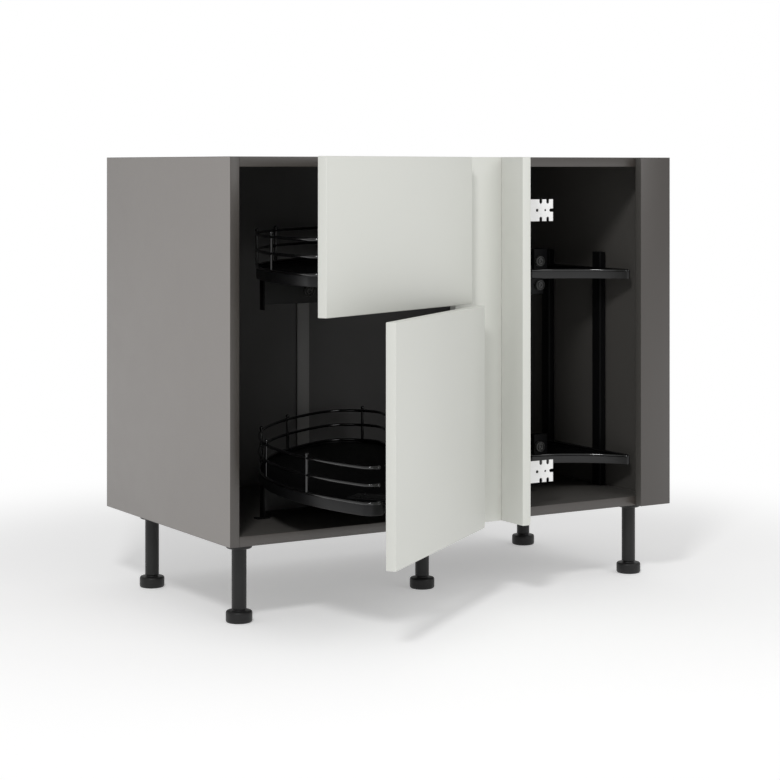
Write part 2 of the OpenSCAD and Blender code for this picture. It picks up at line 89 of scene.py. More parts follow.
# Rims and railings: heights are above the tray's underside
RIM_H, RIM_T, RIM_ROUND, BEAD_R = 23.0, 3.0, 1.1, 3.0
RAIL_LOW, RAIL_HIGH, WIRE_R = 54.0, 85.0, 3.0
BALL_R, POST_STAND = 3.9, 6.5
WIRE_END, WIRE_END_STEP = 240.0, 8.0
FIRST_POST, POST_PITCH, OUTER_POSTS = 145.6, 18.5, 4
WAIST_POSTS = (135, 155)


def around(centre, radius, turn):
    """The point at an angle, in degrees, on a circle in the plan."""
    a = math.radians(turn)
    return Vector((centre[0] + radius * math.cos(a), centre[1] + radius * math.sin(a)))


def meeting_point(a, far_a, b, far_b):
    """Centre of a circle that is far_a from a and far_b from b, to the left of the way from a to b."""
    span = (b - a).length
    along = (far_a * far_a - far_b * far_b + span * span) / (2 * span)
    off = math.sqrt(far_a * far_a - along * along)
    u = (b - a) / span
    return a + along * u + off * Vector((-u.y, u.x))


def heading(start, end):
    """Direction from one point to another in the plan, in degrees."""
    return math.degrees(math.atan2(end.y - start.y, end.x - start.x))


TAIL_C = around(OUTER_C, OUTER_R - TAIL_R, TAIL_TURN)
HEEL_C = Vector((40.0, TRAY_EDGE + HEEL_R))
WAIST_C = meeting_point(TAIL_C, WAIST_R + TAIL_R, HEEL_C, WAIST_R + HEEL_R)
TO_TIP, TO_TAIL = heading(OUTER_C, TIP_C), heading(OUTER_C, TAIL_C)
TO_WAIST, HEEL_TO_WAIST = heading(TAIL_C, WAIST_C), heading(HEEL_C, WAIST_C)

# Camera: a level view from the front left, with a long lens. The frame is square, and the horizon is
# counted from its top
FRAME_PX = 780.0
FOCAL_PX = 2082.5
HORIZON_PX = 166.87
SENSOR_MM = 36.0
CAMERA_YAW = -31.4
CAMERA_AT = (-1.788, -3.471, 0.8507)
FAR_CLIP = 200


def add_camera():
    """The camera, with its frame moved down from the horizon."""
    data = bpy.data.cameras.new("camera")
    data.sensor_width = SENSOR_MM
    data.lens = FOCAL_PX / FRAME_PX * SENSOR_MM
    data.shift_y = (HORIZON_PX - FRAME_PX / 2) / FRAME_PX
    data.clip_end = FAR_CLIP
    camera = bpy.data.objects.new("camera", data)
    camera.location = CAMERA_AT
    camera.rotation_euler = (math.radians(90), 0, math.radians(CAMERA_YAW))
    bpy.context.scene.collection.objects.link(camera)
    bpy.context.scene.camera = camera


add_camera()


# ---- Materials ----

# Where the noise changes over, how fine it is, and offsets that keep its uses apart
CLOUD_STOPS, FLECK_STOPS = (0.3, 0.7), (0.35, 0.65)
CLOUD_DETAIL, FLECK_DETAIL, FINE_DETAIL = 4.0, 2.0, 3.0
FLECK_OFFSET, GLOSS_OFFSET, RELIEF_OFFSET = 3.7, 9.1, 5.3
GLOSS_PER_CLOUD = 5
LEAST_ROUGH = 0.02


def srgb(r, g, b):
    """A colour given by its 0 to 255 screen values, as linear light."""
    return [(c / 255 / 12.92 if c <= 10 else ((c / 255 + 0.055) / 1.055) ** 2.4) for c in (r, g, b)]


def grain(nodes, links, scale, detail, stretch, offset=0.0):
    """Noise in the object's own metres, stretched along an axis; returns its 0 to 1 output."""
    coord = nodes.new("ShaderNodeTexCoord")
    mapping = nodes.new("ShaderNodeMapping")
    mapping.inputs["Scale"].default_value = stretch
    mapping.inputs["Location"].default_value = (offset, offset, offset)
    noise = nodes.new("ShaderNodeTexNoise")
    noise.inputs["Scale"].default_value = scale
    noise.inputs["Detail"].default_value = detail
    links.new(coord.outputs["Object"], mapping.inputs["Vector"])
    links.new(mapping.outputs["Vector"], noise.inputs["Vector"])
    return noise.outputs["Fac"]


def ramp(nodes, links, value, start, end, first, last):
    """Maps a 0 to 1 value between two stops onto two colours."""
    node = nodes.new("ShaderNodeValToRGB")
    node.color_ramp.elements[0].position = start
    node.color_ramp.elements[1].position = end
    node.color_ramp.elements[0].color = (*first, 1)
    node.color_ramp.elements[1].color = (*last, 1)
    links.new(value, node.inputs["Fac"])
    return node.outputs["Color"]


def material(name, colour, rough, spread, cloud, bump, fleck=0.0, fleck_scale=900.0, bump_scale=1500.0,
             bump_depth=0.0002, stretch=(1, 1, 1), rough_spread=0.05, specular=0.5):
    """A surface with slow drifts of tone, fine flecks, uneven gloss and a fine relief."""
    made = bpy.data.materials.new(name)
    made.use_nodes = True
    nodes, links = made.node_tree.nodes, made.node_tree.links
    shader = nodes["Principled BSDF"]
    shader.inputs["Specular IOR Level"].default_value = specular
    drift = grain(nodes, links, cloud, CLOUD_DETAIL, stretch)
    tone = ramp(nodes, links, drift, *CLOUD_STOPS,
                [c * (1 - spread) for c in colour], [min(1.0, c * (1 + spread)) for c in colour])
    if fleck:
        dots = grain(nodes, links, fleck_scale, FLECK_DETAIL, stretch, FLECK_OFFSET)
        specks = ramp(nodes, links, dots, *FLECK_STOPS, [1 - fleck] * 3, [1 + fleck] * 3)
        mix = nodes.new("ShaderNodeMix")
        mix.data_type = "RGBA"
        mix.blend_type = "MULTIPLY"
        mix.inputs["Factor"].default_value = 1.0
        links.new(tone, mix.inputs["A"])
        links.new(specks, mix.inputs["B"])
        tone = mix.outputs["Result"]
    links.new(tone, shader.inputs["Base Color"])
    gloss = nodes.new("ShaderNodeMapRange")
    gloss.inputs["To Min"].default_value = max(LEAST_ROUGH, rough - rough_spread)
    gloss.inputs["To Max"].default_value = min(1.0, rough + rough_spread)
    patches = grain(nodes, links, cloud * GLOSS_PER_CLOUD, FINE_DETAIL, stretch, GLOSS_OFFSET)
    links.new(patches, gloss.inputs["Value"])
    links.new(gloss.outputs["Result"], shader.inputs["Roughness"])
    relief = nodes.new("ShaderNodeBump")
    relief.inputs["Strength"].default_value = bump
    relief.inputs["Distance"].default_value = bump_depth
    skin = grain(nodes, links, bump_scale, FINE_DETAIL, stretch, RELIEF_OFFSET)
    links.new(skin, relief.inputs["Height"])
    links.new(relief.outputs["Normal"], shader.inputs["Normal"])
    return made


LACQUER = material("front lacquer", srgb(213, 214, 208), 0.42, spread=0.006, cloud=3.0, bump=0.12,
                   bump_scale=420.0, rough_spread=0.04)
SIDE_BOARD = material("grey melamine", srgb(144, 140, 137), 0.5, spread=0.012, cloud=5.0, fleck=0.025,
                      fleck_scale=1100.0, bump=0.25, bump_scale=1300.0)
EDGE_BOARD = material("edge band", srgb(60, 55, 51), 0.38, spread=0.02, cloud=7.0, fleck=0.02,
                      bump=0.2, bump_scale=1300.0, stretch=(1, 1, 0.35), specular=0.95)
# Inside faces: darker than the grey melamine outside, partly the board's own darker tone and partly painted
# shade of the closed cabinet's inside.
INNER_BOARD_WITH_SHADE = material("inner melamine with painted shade", srgb(80, 78, 75), 0.5, spread=0.02, cloud=5.0, fleck=0.03,
                       bump=0.2, bump_scale=1300.0)
BACK_BOARD = material("back board", srgb(74, 73, 72), 0.6, spread=0.02, cloud=5.0, fleck=0.03,
                      bump=0.3, bump_scale=900.0)
STRIP = material("joint strip", srgb(126, 125, 123), 0.45, spread=0.02, cloud=9.0, bump=0.15)
STEEL = material("black powder coat", srgb(13, 13, 14), 0.36, spread=0.08, cloud=20.0, bump=0.06,
                 bump_scale=2200.0, bump_depth=0.00005, specular=0.16, rough_spread=0.03)
BEAM_STEEL = material("beam steel", srgb(36, 36, 36), 0.5, spread=0.06, cloud=9.0, fleck=0.04,
                      bump=0.1, bump_scale=2200.0, bump_depth=0.00005, specular=0.25)
BAND_STEEL = material("rim band", srgb(15, 15, 16), 0.34, spread=0.05, cloud=14.0, bump=0.05,
                      bump_scale=2200.0, bump_depth=0.00005, specular=0.28, rough_spread=0.04)
SHELF_STEEL = material("shelf rim steel", srgb(18, 18, 19), 0.3, spread=0.05, cloud=14.0, bump=0.05,
                       bump_scale=2200.0, bump_depth=0.00005, specular=0.55, rough_spread=0.04)
RIM_STEEL = material("rim steel", srgb(9, 9, 10), 0.1, spread=0.05, cloud=20.0, bump=0.04,
                     bump_scale=2200.0, bump_depth=0.00005, specular=0.75, rough_spread=0.03)
LAMINATE = material("black laminate", srgb(7, 7, 8), 0.45, spread=0.1, cloud=14.0, fleck=0.12,
                    fleck_scale=1800.0, bump=0.15, bump_scale=1600.0, specular=0.08)
PLASTIC = material("black plastic", srgb(30, 30, 30), 0.42, spread=0.05, cloud=16.0, fleck=0.05,
                   fleck_scale=1500.0, bump=0.3, bump_scale=1900.0, specular=0.35)
KNOB_PLASTIC = material("grey plastic", srgb(50, 50, 49), 0.34, spread=0.04, cloud=30.0, bump=0.2,
                        bump_scale=1900.0)
WHITE_STEEL = material("white powder coat", srgb(240, 240, 239), 0.45, spread=0.004, cloud=8.0, bump=0.2,
                       bump_scale=2000.0, bump_depth=0.00015)


# ---- Building pieces ----

# Edges that turn more than this, in degrees, stay sharp in the shading
SHARP_TURN = 32.0
# A normal points this far along an axis on a flat side or a cap, and less far than the last if upright
FLAT_SIDE, CAP_SIDE, UPRIGHT_SIDE = 0.99, 0.9, 0.1


def to_row(x, y, z):
    """A place in the cabinet's millimetres, as metres in the shared frame."""
    return Vector(((x - CORNER[0]) * MM, (y - CORNER[1]) * MM, z * MM))


def turned(level):
    """Takes places about the closed pole, in millimetres, to the shared frame at rest."""
    pole = Matrix.Translation(to_row(*POLE, 0))
    return pole @ Matrix.Rotation(math.radians(OPEN_ANGLE[level]), 4, "Z") @ Matrix.Scale(MM, 4)


CABINET = Matrix.Translation(to_row(0, 0, 0)) @ Matrix.Scale(MM, 4)


def place(name, mesh, where, body, looks, replaced=()):
    """Makes an object of a bmesh in millimetres, and puts it on its body."""
    mesh.transform(where)
    bmesh.ops.recalc_face_normals(mesh, faces=mesh.faces)
    name = name.replace(" ", "_")
    data = bpy.data.meshes.new(name)
    mesh.to_mesh(data)
    mesh.free()
    for look in looks if isinstance(looks, (list, tuple)) else [looks]:
        data.materials.append(look)
    data.set_sharp_from_angle(angle=math.radians(SHARP_TURN))
    piece = bpy.data.objects.new(name, data)
    bpy.context.scene.collection.objects.link(piece)
    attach(piece, body)
    if replaced:
        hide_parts(*replaced)
    return piece


def soften(mesh, edges, radius, steps=3):
    """Rounds edges, and shades the rounds smooth and the faces between them flat."""
    for face in mesh.faces:
        face.smooth = False
    made = bmesh.ops.bevel(mesh, geom=edges, offset=radius, segments=steps, profile=0.5,
                           affect="EDGES", clamp_overlap=True)
    for face in made["faces"]:
        face.smooth = True


def slab_mesh(start, end, radius):
    """A board from one corner to the other, with rounded edges."""
    mesh = bmesh.new()
    bmesh.ops.create_cube(mesh, size=1.0)
    centre = [(a + b) / 2 for a, b in zip(start, end)]
    size = [b - a for a, b in zip(start, end)]
    bmesh.ops.scale(mesh, vec=size, verts=mesh.verts)
    bmesh.ops.translate(mesh, vec=centre, verts=mesh.verts)
    soften(mesh, mesh.edges[:], radius)
    return mesh


def outline_mesh(points, bottom, top, radius, holes=()):
    """A plate with an outline of plan points, from bottom to top, with rounded rims."""
    mesh = bmesh.new()
    rings = [[mesh.verts.new((p[0], p[1], bottom)) for p in ring] for ring in (points, *holes)]
    edges = [mesh.edges.new(ends) for ring in rings for ends in zip(ring, [*ring[1:], ring[0]])]
    if holes:
        bmesh.ops.triangle_fill(mesh, edges=edges, use_beauty=True)
    else:
        mesh.faces.new(rings[0])
    lifted = bmesh.ops.extrude_face_region(mesh, geom=mesh.faces[:])["geom"]
    raised = [g for g in lifted if isinstance(g, bmesh.types.BMVert)]
    bmesh.ops.translate(mesh, vec=(0, 0, top - bottom), verts=raised)
    bmesh.ops.recalc_face_normals(mesh, faces=mesh.faces)
    rims = [e for e in mesh.edges if len(e.link_faces) == 2 and
            sum(abs(f.normal.z) > CAP_SIDE for f in e.link_faces) == 1]
    sides = [f for f in mesh.faces if abs(f.normal.z) < UPRIGHT_SIDE]
    soften(mesh, rims, radius, 2)
    for face in sides:
        if face.is_valid:
            face.smooth = True
    return mesh


def lathe_mesh(profile, steps=48):
    """A turned shape. profile is a list of (radius, height) in order, with both ends on the axis."""
    mesh = bmesh.new()
    rings = []
    for radius, height in profile:
        turns = [360 * i / steps for i in range(steps)] if radius else [0]
        rings.append([mesh.verts.new((*around((0, 0), radius, turn), height)) for turn in turns])
    for below, above in zip(rings, rings[1:]):
        for i in range(steps):
            j = (i + 1) % steps
            corners = [below[i % len(below)], below[j % len(below)],
                       above[j % len(above)], above[i % len(above)]]
            distinct = list(dict.fromkeys(corners))
            if len(distinct) >= 3:
                mesh.faces.new(distinct)
    for face in mesh.faces:
        face.smooth = True
    return mesh


def round_edge(outer, level, radius, turns):
    """Profile points on a rounded edge of a turned shape, at angles from level, in degrees."""
    return [(outer - radius + radius * math.cos(math.radians(t)), level + radius * math.sin(math.radians(t)))
            for t in turns]


def tube_mesh(path, radius, steps=12):
    """A round wire along a path of points at one height, closed at its ends."""
    mesh = bmesh.new()
    rings = []
    turns = [2 * math.pi * k / steps for k in range(steps)]
    for i, point in enumerate(path):
        before, after = path[max(0, i - 1)], path[min(len(path) - 1, i + 1)]
        along = (after - before).normalized()
        across = along.cross(Vector((0, 0, 1))).normalized()
        up = across.cross(along)
        ring = [point + radius * (math.cos(t) * across + math.sin(t) * up) for t in turns]
        rings.append([mesh.verts.new(corner) for corner in ring])
    for a, b in zip(rings, rings[1:]):
        for k in range(steps):
            mesh.faces.new((a[k], a[(k + 1) % steps], b[(k + 1) % steps], b[k]))
    mesh.faces.new(rings[0])
    mesh.faces.new(rings[-1])
    for face in mesh.faces:
        face.smooth = len(face.verts) == 4
    return mesh


def ball_mesh(centre, radius):
    """A ball, for the round end of a wire."""
    mesh = bmesh.new()
    bmesh.ops.create_uvsphere(mesh, u_segments=20, v_segments=12, radius=radius)
    bmesh.ops.translate(mesh, vec=centre, verts=mesh.verts)
    for face in mesh.faces:
        face.smooth = True
    return mesh


def band_mesh(outer, inner, bottom, top, radius, closed):
    """An upright band between two outlines of as many points each, with rounded rims."""
    mesh = bmesh.new()
    corners = [(0, 0, 180), (1, 0, 270), (1, 1, 0), (0, 1, 90)]
    rings = []
    for out, inn in zip(outer, inner):
        across = inn - out
        wide = across.length
        ring = []
        for far, high_up, turn in corners:
            middle = (wide - radius if far else radius, top - radius if high_up else bottom + radius)
            for extra in (0, 30, 60, 90):
                a = math.radians(turn + extra)
                flat = out + across.normalized() * (middle[0] + radius * math.cos(a))
                ring.append(mesh.verts.new((flat.x, flat.y, middle[1] + radius * math.sin(a))))
        rings.append(ring)
    pairs = list(zip(rings, rings[1:])) + ([(rings[-1], rings[0])] if closed else [])
    count = len(rings[0])
    for a, b in pairs:
        for k in range(count):
            mesh.faces.new((a[k], a[(k + 1) % count], b[(k + 1) % count], b[k]))
    if not closed:
        mesh.faces.new(rings[0])
        mesh.faces.new(rings[-1])
    for face in mesh.faces:
        face.smooth = True
    return mesh


def joined(meshes):
    """Several bmeshes as one."""
    whole = bmesh.new()
    for mesh in meshes:
        data = bpy.data.meshes.new("part")
        mesh.to_mesh(data)
        mesh.free()
        whole.from_mesh(data)
        bpy.data.meshes.remove(data)
    return whole


def arc(centre, radius, start, end, step=3.0):
    """Plan points along an arc, from one angle to another in degrees."""
    count = max(2, math.ceil(abs(end - start) / step))
    return [around(centre, radius, start + (end - start) * i / count) for i in range(count + 1)]


def eased(points, corners, radius, steps=6):
    """Rounds chosen corners of an outline, given by their indices."""
    made = []
    for i, point in enumerate(points):
        if i not in corners:
            made.append(point)
            continue
        before = (points[i - 1] - point).normalized()
        after = (points[(i + 1) % len(points)] - point).normalized()
        for k in range(steps + 1):
            t = k / steps
            made.append(point + radius * ((1 - t) ** 2 * before + t ** 2 * after))
    return made


# ---- CAD nodes: each gets its finish; those that a finer piece stands for are hidden by it ----

FINISHES = {
    "panel_board": INNER_BOARD_WITH_SHADE, "dark_board": EDGE_BOARD, "front_lacquer": LACQUER, "tray_laminate": LAMINATE,
    "black_steel": STEEL, "white_steel": WHITE_STEEL, "black_plastic": PLASTIC,
}
for entry in frame["record"]["subparts"]:
    shown = frame["nodes"][entry["node"]]
    shown.data.materials.clear()
    shown.data.materials.append(FINISHES[entry["material_slot"]])
    for polygon in shown.data.polygons:
        polygon.material_index = 0
for node, look in (("back_panel", BACK_BOARD), ("back_joint_strip", STRIP), ("pivot_pole", RIM_STEEL)):
    frame["nodes"][node].data.materials[0] = look


# ---- Carcass ----

PANEL_EDGE, INNER_PANEL_EDGE, POST_EDGE = 0.8, 0.6, 1.2


def board(node, radius, looks):
    """A CAD board with eased edges. looks gives the material of a side, such as -x, and of the rest."""
    mesh = slab_mesh(low(node), high(node), radius)
    palette = list(dict.fromkeys(looks.values()))
    for face in mesh.faces:
        axis = max(range(3), key=lambda k: abs(face.normal[k]))
        side = "-+"[face.normal[axis] > 0] + "xyz"[axis]
        whole = abs(face.normal[axis]) > FLAT_SIDE
        look = looks.get(side, looks["rest"]) if whole else looks["rest"]
        face.material_index = palette.index(look)
    place(node + " board", mesh, CABINET, "carcass", palette, (node,))


for node, outside, inside in (("side_panel_left", "-x", "+x"), ("side_panel_right", "+x", "-x")):
    board(node, PANEL_EDGE, {outside: SIDE_BOARD, inside: INNER_BOARD_WITH_SHADE, "rest": EDGE_BOARD})
for node in ("bottom_panel", "top_panel"):
    board(node, INNER_PANEL_EDGE, {"+z": INNER_BOARD_WITH_SHADE, "-z": INNER_BOARD_WITH_SHADE, "rest": EDGE_BOARD})
board("right_filler", PANEL_EDGE, {"-x": INNER_BOARD_WITH_SHADE, "rest": EDGE_BOARD})
board("back_joint_strip", PANEL_EDGE, {"rest": STRIP})
for node in ("corner_post_face", "corner_post_return"):
    board(node, POST_EDGE, {"rest": LACQUER})

SLOT_HALF, SLOT_DEPTH, SLOT_STEP = 3.4, 9.0, 30.0
SLOTS_FROM_RIGHT = (30, 13)
# How far each hole stands from the plate's left or right end, and its radius
LEFT_HOLE, RIGHT_HOLES = (10, 2.6), ((39, 3.2), (19, 2.3))
PLATE_EDGE = 0.35
# Takes an outline in the plan to the plane of the cabinet's front
TO_FRONT_PLANE = Matrix(((1, 0, 0, 0), (0, 0, -1, 0), (0, 1, 0, 0), (0, 0, 0, 1)))


def tie_plate(node):
    """A steel plate with round-ended slots above, below and at its end, and three holes."""
    (left, front_y, under), (right, back_y, top) = low(node), high(node)
    middle = (under + top) / 2
    slots = [right - far for far in SLOTS_FROM_RIGHT]
    outline = [Vector((left, top)), Vector((left, under))]
    for x in slots:
        end_of_slot = (x, under + SLOT_DEPTH - SLOT_HALF)
        outline += [Vector((x - SLOT_HALF, under)), *arc(end_of_slot, SLOT_HALF, 180, 0, SLOT_STEP),
                    Vector((x + SLOT_HALF, under))]
    end_of_slot = (right - SLOT_DEPTH + SLOT_HALF, middle)
    outline += [Vector((right, under)), Vector((right, middle - SLOT_HALF)),
                *arc(end_of_slot, SLOT_HALF, 270, 90, SLOT_STEP), Vector((right, middle + SLOT_HALF)),
                Vector((right, top))]
    for x in reversed(slots):
        end_of_slot = (x, top - SLOT_DEPTH + SLOT_HALF)
        outline += [Vector((x + SLOT_HALF, top)), *arc(end_of_slot, SLOT_HALF, 0, -180, SLOT_STEP),
                    Vector((x - SLOT_HALF, top))]
    drilled = [(left + LEFT_HOLE[0], LEFT_HOLE[1])]
    drilled += [(right - far, r) for far, r in RIGHT_HOLES]
    holes = [list(reversed(arc((x, middle), r, 0, 360 - SLOT_STEP, SLOT_STEP))) for x, r in drilled]
    mesh = outline_mesh(outline, -back_y, -front_y, PLATE_EDGE, holes)
    place(node + " plate", mesh, CABINET @ TO_FRONT_PLANE, "carcass", WHITE_STEEL, (node,))


tie_plate("tie_plate_upper")
tie_plate("tie_plate_lower")


# ---- Legs ----

SOCKET_ROUND, SOCKET_RIM, SOCKET_OVERLAP = 4.5, 0.6, 1
TUBE_LIFT, TUBE_BORE_R, BORE_DEPTH, TUBE_RIM = 2.5, 9.1, 58, 1
FOOT_H, FOOT_ROUND, SPINDLE_R, SPINDLE_RIM = 22.0, 4.0, 8.9, 1
NECK = ((12.5, 0), (12, 1.6), (SPINDLE_R, 1.8))


def leg(place_name):
    """A rounded socket, a tube with a bore at its lower end, and a rounded foot with its spindle."""
    socket, tube, foot = "leg_socket_" + place_name, "leg_tube_" + place_name, "foot_" + place_name
    x, y = ((a + b) / 2 for a, b in zip(low(foot)[:2], high(foot)[:2]))
    at = CABINET @ Matrix.Translation((x, y, 0))

    top, under = high(socket)[2], low(socket)[2]
    wide = (high(socket)[0] - low(socket)[0]) / 2
    turn = round_edge(wide, under + SOCKET_ROUND, SOCKET_ROUND, (-90, -67.5, -45, -22.5, 0))
    shell = [(0, under), *turn, (wide, top - SOCKET_RIM), (wide - SOCKET_RIM, top), (0, top)]
    place(socket + " shell", lathe_mesh(shell), at, "carcass", PLASTIC, (socket,))

    start, collar = low(tube)[2] + TUBE_LIFT, under + SOCKET_OVERLAP
    wide = (high(tube)[0] - low(tube)[0]) / 2
    shell = [(0, start + BORE_DEPTH), (TUBE_BORE_R, start + BORE_DEPTH), (TUBE_BORE_R, start),
             (wide - TUBE_RIM, start), (wide, start + TUBE_RIM), (wide, collar), (0, collar)]
    place(tube + " shell", lathe_mesh(shell), at, "carcass", PLASTIC, (tube,))

    top = high(foot)[2]
    wide = (high(foot)[0] - low(foot)[0]) / 2
    shell = [(0, 0), *round_edge(wide, FOOT_ROUND, FOOT_ROUND, (-90, -60, -30, 0)),
             *round_edge(wide, FOOT_H - FOOT_ROUND, FOOT_ROUND, (0, 30, 60, 90)),
             *((r, FOOT_H + rise) for r, rise in NECK),
             (SPINDLE_R, top - SPINDLE_RIM), (SPINDLE_R - SPINDLE_RIM, top), (0, top)]
    place(foot + " shell", lathe_mesh(shell), at, foot + "_body", PLASTIC, (foot,))


for spot in LEGS:
    leg(spot)


# ---- Frame in the blind corner ----

UPRIGHT_W, UPRIGHT_EDGE = 15.0, 2.0
LUG_H, LUG_RISE, LUG_DROP = 25, 20, 45
BEAM_FRONT = low("beam_lower")[1]
# The beam's end under the corner shelf is painted darker as shade, from a gap left of the shelf's step.
BEAM_EDGE, BEAM_STEP_GAP, BEAM_OVERLAP, BEAM_SHADE_GAP = 1.2, 4, 2, 3
FOOT_WALL, FOOT_WALL_X, FOOT_PLATE, FOOT_OVERLAP, FOOT_EDGE = 3, 13, 3, 2, 0.7
END_EDGE = 0.9


def bars(name, boxes, radius, replaced, look=STEEL):
    """Several straight bars with eased edges as one piece."""
    mesh = joined([slab_mesh(a, b, radius) for a, b in boxes])
    return place(name, mesh, CABINET, "carcass", look, (replaced,))


def upright(node):
    """A square bar, with two lugs that hold it on the right side panel."""
    start, end = low(node), high(node)
    quarter = (end[1] - start[1]) / 4
    lugs = [([start[0] + UPRIGHT_W, start[1] + quarter, z], [end[0], end[1] - quarter, z + LUG_H])
            for z in (start[2] + LUG_RISE, end[2] - LUG_DROP)]
    bars(node + " bar", [(start, [start[0] + UPRIGHT_W, end[1], end[2]]), *lugs], UPRIGHT_EDGE, node)


def beam(level_name):
    """A beam with full height up to the corner shelf and a lower end below it, whose end under the shelf
    takes the darker steel as painted shade.
    """
    node, rim = "beam_" + level_name, "corner_rim_" + level_name
    start, end = low(node), high(node)
    step_x, step_z = low(rim)[0] - BEAM_STEP_GAP, low(rim)[2]
    tall = (start, [step_x, end[1], end[2]])
    short = ([step_x - BEAM_OVERLAP, start[1], start[2]], [end[0], end[1], step_z])
    piece = bars("beam bar " + level_name, [tall, short], BEAM_EDGE, node, BEAM_STEEL)
    # Painted shade: the end under the corner shelf takes the darker black steel; the rest keeps the lighter
    # beam steel.
    piece.data.materials.append(STEEL)
    shade_from_x = to_row(step_x - BEAM_SHADE_GAP, 0, 0).x
    for polygon in piece.data.polygons:
        polygon.material_index = int(polygon.center.x > shade_from_x)


def beam_foot():
    """An upright plate under the lower beam's end, on a plate that lies on the bottom panel."""
    start, end = low("beam_foot_lower"), high("beam_foot_lower")
    wall_x = start[0] + FOOT_WALL_X
    wall = ([wall_x, start[1], start[2] + FOOT_OVERLAP], [wall_x + FOOT_WALL, *end[1:]])
    plate = (start, [*end[:2], start[2] + FOOT_PLATE])
    bars("beam foot", [wall, plate], FOOT_EDGE, "beam_foot_lower")


upright("upright_front")
upright("upright_rear")
for level_name in LEVELS:
    beam(level_name)
beam_foot()
bars("beam end", [(low("beam_end_upper"), high("beam_end_upper"))], END_EDGE, "beam_end_upper")

# Corner shelf: it follows the closed tray at a clearance, and its front edge is a hollow arc
SHELF_LEFT, SHELF_RIGHT = low("corner_rim_lower")[0], high("corner_rim_lower")[0]
SHELF_BACK = high("corner_rim_lower")[1]
SHELF_CLEAR = 25.0
SCOOP_C = Vector((SHELF_LEFT - 43.5, POLE[1] - 107.5))
SCOOP_R = 255.5
BACK_CORNER_R, LEFT_CORNER_R, RIGHT_CORNER_R, LEAST_CORNER_R = 7, 6, 11, 1.0
HOLLOW_STEP = 6.0
# How far a board goes into its rim, and the rounding of a corner shelf's board
BOARD_OVERLAP, SHELF_EDGE, SHELF_LIFT = 0.2, 0.4, 1


def shelf_points(inset):
    """Outline of a corner shelf, drawn in by inset, with its back and front corners rounded."""
    left, right, back = SHELF_LEFT + inset, SHELF_RIGHT - inset, SHELF_BACK - inset
    pole = Vector(POLE)
    waist, tail = pole + WAIST_C, pole + TAIL_C
    waist_r, tail_r, scoop_r = WAIST_R - SHELF_CLEAR - inset, TAIL_R + SHELF_CLEAR + inset, SCOOP_R + inset
    right_turn = math.degrees(math.acos((right - SCOOP_C.x) / scoop_r))
    left_turn = math.degrees(math.acos((left - SCOOP_C.x) / scoop_r))
    waist_turn = 180 - math.degrees(math.acos((waist.x - left) / waist_r))
    back_turn = math.degrees(math.asin((back - tail.y) / tail_r))
    front = arc(SCOOP_C, scoop_r, right_turn, left_turn)
    side = arc(waist, waist_r, waist_turn, TO_WAIST + 180)
    hollow = arc(tail, tail_r, TO_WAIST, back_turn, HOLLOW_STEP)[1:]
    points = [*front, *side, *hollow, Vector((right, back))]
    points = eased(points, (len(points) - 1,), max(LEAST_CORNER_R, BACK_CORNER_R - inset))
    points = eased(points, (len(front) - 1, len(front)), max(LEAST_CORNER_R, LEFT_CORNER_R - inset))
    return eased(points, (0,), max(LEAST_CORNER_R, RIGHT_CORNER_R - inset))


def shelf(level_name):
    """A corner shelf: a steel band with a bead along its top, round a board."""
    rim, base = "corner_rim_" + level_name, "corner_shelf_" + level_name
    under, top = low(rim)[2], high(rim)[2]
    band = band_mesh(shelf_points(0), shelf_points(RIM_T), under, top, RIM_ROUND, True)
    place(rim + " band", band, CABINET, "carcass", SHELF_STEEL, (rim,))
    ring = [Vector((*p, top - BEAD_R / 2)) for p in shelf_points(RIM_T / 2)]
    bead = tube_mesh([*ring, *ring[:2]], BEAD_R)
    place(rim + " bead", bead, CABINET, "carcass", RIM_STEEL)
    fill = outline_mesh(shelf_points(RIM_T - BOARD_OVERLAP), under + SHELF_LIFT, high(base)[2], SHELF_EDGE)
    place(base + " board", fill, CABINET, "carcass", LAMINATE, (base,))


for level_name in LEVELS:
    shelf(level_name)

# Clamp blocks on the shelves' tips, and the bolts in the blocks and beams
BLOCK_LEFT, BLOCK_RIGHT = low("clamp_blocks")[0], high("clamp_blocks")[0]
BLOCK_D, BLOCK_H, BLOCK_EDGE = 17, 44.0, 2.2
KNOB_R, KNOB_H, KNOB_STEPS = 11.0, 8.0, 40
KNOB_X, KNOB_RISE, KNOB_DROP = BLOCK_LEFT + 12, 18, 32
BEAM_KNOB_X, BEAM_KNOB_DROP = low("beam_lower")[0] + 95, 24
# The head's relief, from its outer ring over a groove and an inner ring to a dimple: how far each
# place lies in from the head's radius, and below its face
KNOB_RELIEF = ((0, 1.6), (0.9, 0.4), (2.2, 0.2), (3.0, 2.6), (4.4, 2.8), (5.2, 0.4), (6.6, 0),
               (7.6, 0.4), (8.4, 2.4), (11.0, 2.4))


def knob_mesh(x, z):
    """A round bolt head that faces the front."""
    profile = [(0, 0), (KNOB_R, 0), *((KNOB_R - inward, KNOB_H - sunk) for inward, sunk in KNOB_RELIEF)]
    mesh = lathe_mesh(profile, KNOB_STEPS)
    quarter_turn = Matrix.Rotation(math.radians(90), 3, "X")
    bmesh.ops.rotate(mesh, verts=mesh.verts, cent=(0, 0, 0), matrix=quarter_turn)
    bmesh.ops.translate(mesh, verts=mesh.verts, vec=(x, BEAM_FRONT, z))
    return mesh


